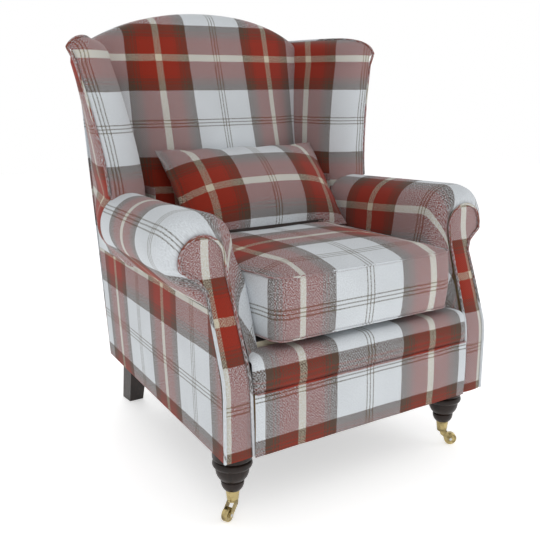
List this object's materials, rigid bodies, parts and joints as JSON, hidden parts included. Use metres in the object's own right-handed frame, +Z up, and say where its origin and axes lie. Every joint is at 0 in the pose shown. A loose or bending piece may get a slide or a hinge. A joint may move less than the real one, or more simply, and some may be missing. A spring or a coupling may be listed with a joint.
{
  "type": "fireside chair",
  "caption": "Wing-back upholstered fireside armchair with scroll arms, loose seat and lumbar cushions, turned front legs on brass castors and raked rear legs.",
  "frame": {"origin": "on the floor under the middle of the chair's outline", "axes": "+Z up, -Y the way the sitter faces, +X to the right seen from the front"},
  "size_m": [0.88, 0.8007, 1.04],
  "materials": {
    "check_cloth": "woven wool-look check, soft and matt",
    "piping_cloth": "the check cloth wrapped round a thin cord",
    "deck_cloth": "plain dark platform cloth",
    "dust_cloth": "thin black bonded cloth",
    "foam_padding": "polyurethane foam",
    "cushion_fibre": "white fibre-wrapped foam",
    "webbing": "woven elastic webbing",
    "zip_tape": "dark woven tape",
    "zip_metal": "dull nickel",
    "frame_timber": "sawn hardwood",
    "leg_wood": "turned hardwood, near-black stain, satin",
    "brass": "aged polished brass",
    "spring_steel": "oiled spring wire",
    "steel_fittings": "plain zinc-plated steel"
  },
  "bodies": {
    "chair": {"front_rail": "frame_timber", "back_rail": "frame_timber", "side_rails": "frame_timber", "arm_stumps": "frame_timber", "arm_rails": "frame_timber", "back_posts": "frame_timber", "back_top_rail": "frame_timber", "cross_rail": "frame_timber", "wing_boards": "frame_timber", "corner_blocks": "frame_timber", "seat_springs": "spring_steel", "spring_clips": "steel_fittings", "back_webbing": "webbing", "seat_deck_pad": "foam_padding", "seat_lip_roll": "foam_padding", "back_pad": "foam_padding", "arm_pad_left": "foam_padding", "arm_pad_right": "foam_padding", "wing_pad_left": "foam_padding", "wing_pad_right": "foam_padding", "inside_back_cover": "check_cloth", "outside_back_cover": "check_cloth", "inside_wing_cover_left": "check_cloth", "inside_wing_cover_right": "check_cloth", "outside_wing_cover_left": "check_cloth", "outside_wing_cover_right": "check_cloth", "inside_arm_cover_left": "check_cloth", "inside_arm_cover_right": "check_cloth", "outside_arm_cover_left": "check_cloth", "outside_arm_cover_right": "check_cloth", "arm_facing_left": "check_cloth", "arm_facing_right": "check_cloth", "seat_lip_cover": "check_cloth", "front_border_cover": "check_cloth", "deck_cloth": "deck_cloth", "dust_cover": "dust_cloth", "facing_piping_left": "piping_cloth", "facing_piping_right": "piping_cloth", "wing_piping": "piping_cloth", "front_leg_left": "leg_wood", "front_leg_right": "leg_wood", "rear_leg_left": "leg_wood", "rear_leg_right": "leg_wood", "castor_cup_left": "brass", "castor_cup_right": "brass", "leg_bolts": "steel_fittings"},
    "seat_cushion": {"seat_cushion_cover": "check_cloth", "seat_cushion_filling": "cushion_fibre", "seat_zip": "zip_tape"},
    "lumbar_cushion": {"lumbar_cushion_cover": "check_cloth", "lumbar_cushion_filling": "cushion_fibre", "lumbar_zip": "zip_tape"},
    "seat_slider": {"seat_zip_slider": "zip_metal"},
    "lumbar_slider": {"lumbar_zip_slider": "zip_metal"},
    "castor_left": {"castor_horn_left": "brass", "castor_axle_left": "steel_fittings"},
    "castor_right": {"castor_horn_right": "brass", "castor_axle_right": "steel_fittings"},
    "wheel_left": {"castor_wheel_left": "brass"},
    "wheel_right": {"castor_wheel_right": "brass"}
  },
  "joints": [
    {"name": "seat_cushion_lift", "type": "slide", "parent": "chair", "child": "seat_cushion", "axis": [0, 0, 1], "range_m": [0, 0.12]},
    {"name": "lumbar_cushion_pull", "type": "slide", "parent": "seat_cushion", "child": "lumbar_cushion", "axis": [0, -0.9631, 0.269], "range_m": [0, 0.15]},
    {"name": "seat_zip_run", "type": "slide", "parent": "seat_cushion", "child": "seat_slider", "axis": [-1, 0, 0], "range_m": [0, 0.35]},
    {"name": "lumbar_zip_run", "type": "slide", "parent": "lumbar_cushion", "child": "lumbar_slider", "axis": [-1, 0, 0], "range_m": [0, 0.27]},
    {"name": "castor_swivel_left", "type": "hinge", "parent": "chair", "child": "castor_left", "pos_m": [-0.303, -0.328, 0.036], "axis": [0, 0, 1], "continuous": true},
    {"name": "castor_swivel_right", "type": "hinge", "parent": "chair", "child": "castor_right", "pos_m": [0.303, -0.328, 0.036], "axis": [0, 0, 1], "continuous": true},
    {"name": "castor_roll_left", "type": "hinge", "parent": "castor_left", "child": "wheel_left", "pos_m": [-0.32174, -0.33747, 0.015], "axis": [0.4509, -0.8926, 0], "continuous": true},
    {"name": "castor_roll_right", "type": "hinge", "parent": "castor_right", "child": "wheel_right", "pos_m": [0.32031, -0.3399, 0.015], "axis": [0.5664, 0.8241, 0], "continuous": true}
  ]
}
